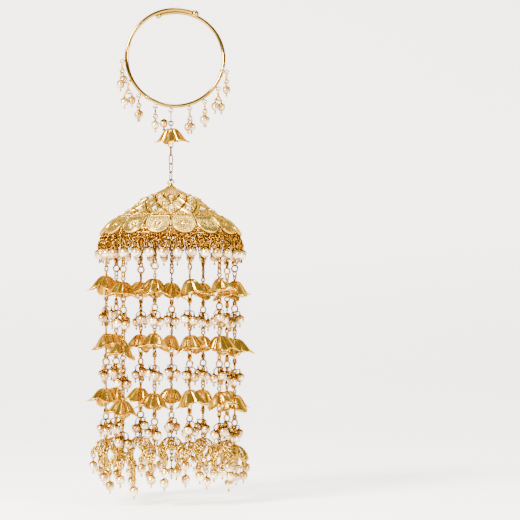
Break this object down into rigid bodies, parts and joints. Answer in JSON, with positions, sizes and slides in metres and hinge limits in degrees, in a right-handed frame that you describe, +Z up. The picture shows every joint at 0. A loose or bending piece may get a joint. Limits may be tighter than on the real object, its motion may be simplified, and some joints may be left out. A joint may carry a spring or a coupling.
{
  "type": "kalire bridal ornament",
  "caption": "Bridal hand ornament: an open bangle with pearl drops carries a flower charm, a short chain and a stamped dome, from whose rim strands of flowers and pearls hang.",
  "frame": {"origin": "point at the top of the bangle's inside, above the dome's axis, where the ornament hangs on a hook or an arm", "axes": "+Z up along the dome's axis, -Y towards the viewer of the bangle's open ring, +X to the right"},
  "size_m": [0.1068, 0.1083, 0.3115],
  "materials": {
    "gold_wire": "polished gold plate",
    "gold_leaf": "brushed gold plate on thin sheet",
    "gold_cast": "gold plate on stamped metal",
    "antique_gold": "darkened gold plate",
    "copper_gold": "reddish gold plate",
    "pearl": "pearl coating",
    "stone": "cut and polished"
  },
  "bodies": {
    "bangle": {"bangle": "gold_wire", "bangle_drop_wires": "gold_wire", "bangle_pearls": "pearl"},
    "jump_ring": {"jump_ring": "copper_gold"},
    "drop": {"neck_chain": "copper_gold", "charm": "gold_leaf", "charm_pearl": "pearl", "dome": "gold_cast", "dome_stones": "stone", "rim_fringe": "antique_gold", "rim_pearls": "pearl", "filigree": "antique_gold", "bottom_pearls": "pearl", "strand_1": "copper_gold", "strand_2": "copper_gold", "strand_3": "copper_gold", "strand_4": "copper_gold", "strand_5": "copper_gold", "strand_6": "copper_gold", "strand_7": "copper_gold", "strand_8": "copper_gold", "strand_9": "copper_gold", "strand_10": "copper_gold", "strand_11": "copper_gold", "tier_pearls_1": "pearl", "tier_pearls_2": "pearl", "tier_pearls_3": "pearl", "flower_1_1": "gold_leaf", "flower_1_2": "gold_leaf", "flower_1_3": "gold_leaf", "flower_2_1": "gold_leaf", "flower_2_2": "gold_leaf", "flower_2_3": "gold_leaf", "flower_3_1": "gold_leaf", "flower_3_2": "gold_leaf", "flower_3_3": "gold_leaf", "flower_4_1": "gold_leaf", "flower_4_2": "gold_leaf", "flower_4_3": "gold_leaf", "flower_5_1": "gold_leaf", "flower_5_2": "gold_leaf", "flower_5_3": "gold_leaf", "flower_6_1": "gold_leaf", "flower_6_2": "gold_leaf", "flower_6_3": "gold_leaf", "flower_7_1": "gold_leaf", "flower_7_2": "gold_leaf", "flower_7_3": "gold_leaf", "flower_8_1": "gold_leaf", "flower_8_2": "gold_leaf", "flower_8_3": "gold_leaf", "flower_9_1": "gold_leaf", "flower_9_2": "gold_leaf", "flower_9_3": "gold_leaf", "flower_10_1": "gold_leaf", "flower_10_2": "gold_leaf", "flower_10_3": "gold_leaf", "flower_11_1": "gold_leaf", "flower_11_2": "gold_leaf", "flower_11_3": "gold_leaf"}
  },
  "joints": [
    {"name": "swing_fore_aft", "type": "hinge", "parent": "bangle", "child": "jump_ring", "pos_m": [0, 0, -0.06512], "axis": [1, 0, 0], "range_deg": [-45, 45]},
    {"name": "swing_sideways", "type": "hinge", "parent": "jump_ring", "child": "drop", "pos_m": [0, 0, -0.07177], "axis": [0, 1, 0], "range_deg": [-10, 10]}
  ]
}
